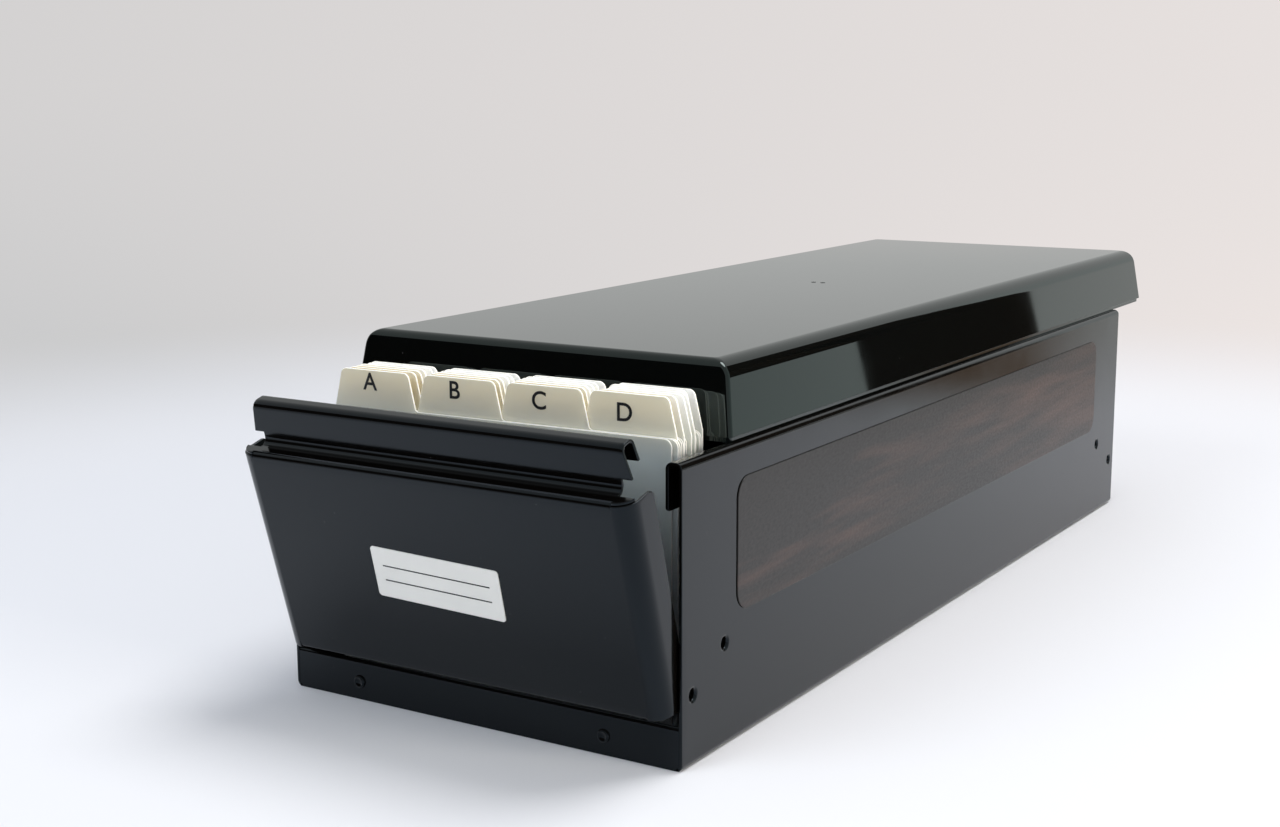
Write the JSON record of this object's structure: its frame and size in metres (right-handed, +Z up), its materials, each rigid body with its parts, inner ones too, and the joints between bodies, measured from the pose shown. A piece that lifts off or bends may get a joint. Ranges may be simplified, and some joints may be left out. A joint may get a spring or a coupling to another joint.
{
  "type": "business card box",
  "caption": "Long sheet-steel card box with a front panel that tilts forward, a moulded lift-off lid, wood-grain side strips and lettered index dividers.",
  "frame": {"origin": "on the table, under the middle of the whole object with the front panel open and the lid set back", "axes": "+Z up, +Y from the tilting front to the back, +X to the right seen from the front"},
  "size_m": [0.1156, 0.3582, 0.09],
  "materials": {
    "case_paint": "semi-gloss dark brown-black paint",
    "wood_grain": "dark wood-grain film",
    "lid_gloss": "gloss black",
    "divider_white": "satin milky white",
    "label_white": "satin white"
  },
  "bodies": {
    "case": {"floor_plate": "case_paint", "front_sill": "case_paint", "sill_rivets": "case_paint", "left_side_wall": "case_paint", "right_side_wall": "case_paint", "rear_panel": "case_paint", "left_wood_strip": "wood_grain", "right_wood_strip": "wood_grain"},
    "front_panel": {"front_panel": "case_paint", "front_label": "label_white"},
    "lid": {"lid": "lid_gloss"},
    "dividers": {"divider_a": "divider_white", "divider_b": "divider_white", "divider_c": "divider_white", "divider_d": "divider_white", "divider_e": "divider_white", "divider_f": "divider_white", "divider_g": "divider_white", "divider_h": "divider_white", "divider_i": "divider_white", "divider_j": "divider_white", "divider_k": "divider_white", "divider_l": "divider_white", "divider_m": "divider_white", "divider_n": "divider_white", "divider_o": "divider_white", "divider_p": "divider_white", "divider_q": "divider_white", "divider_r": "divider_white", "divider_s": "divider_white", "divider_t": "divider_white", "divider_u": "divider_white", "divider_v": "divider_white", "divider_w": "divider_white", "divider_xyz": "divider_white"}
  },
  "joints": [
    {"name": "front_tilt", "type": "hinge", "parent": "case", "child": "front_panel", "pos_m": [0, -0.15468, 0.0169], "axis": [1, 0, 0], "range_deg": [-16, 0]},
    {"name": "lid_lift", "type": "slide", "parent": "case", "child": "lid", "axis": [0, 0, 1], "range_m": [0, 0.06]},
    {"name": "divider_lift", "type": "slide", "parent": "case", "child": "dividers", "axis": [0, 0, 1], "range_m": [0, 0.08]}
  ]
}
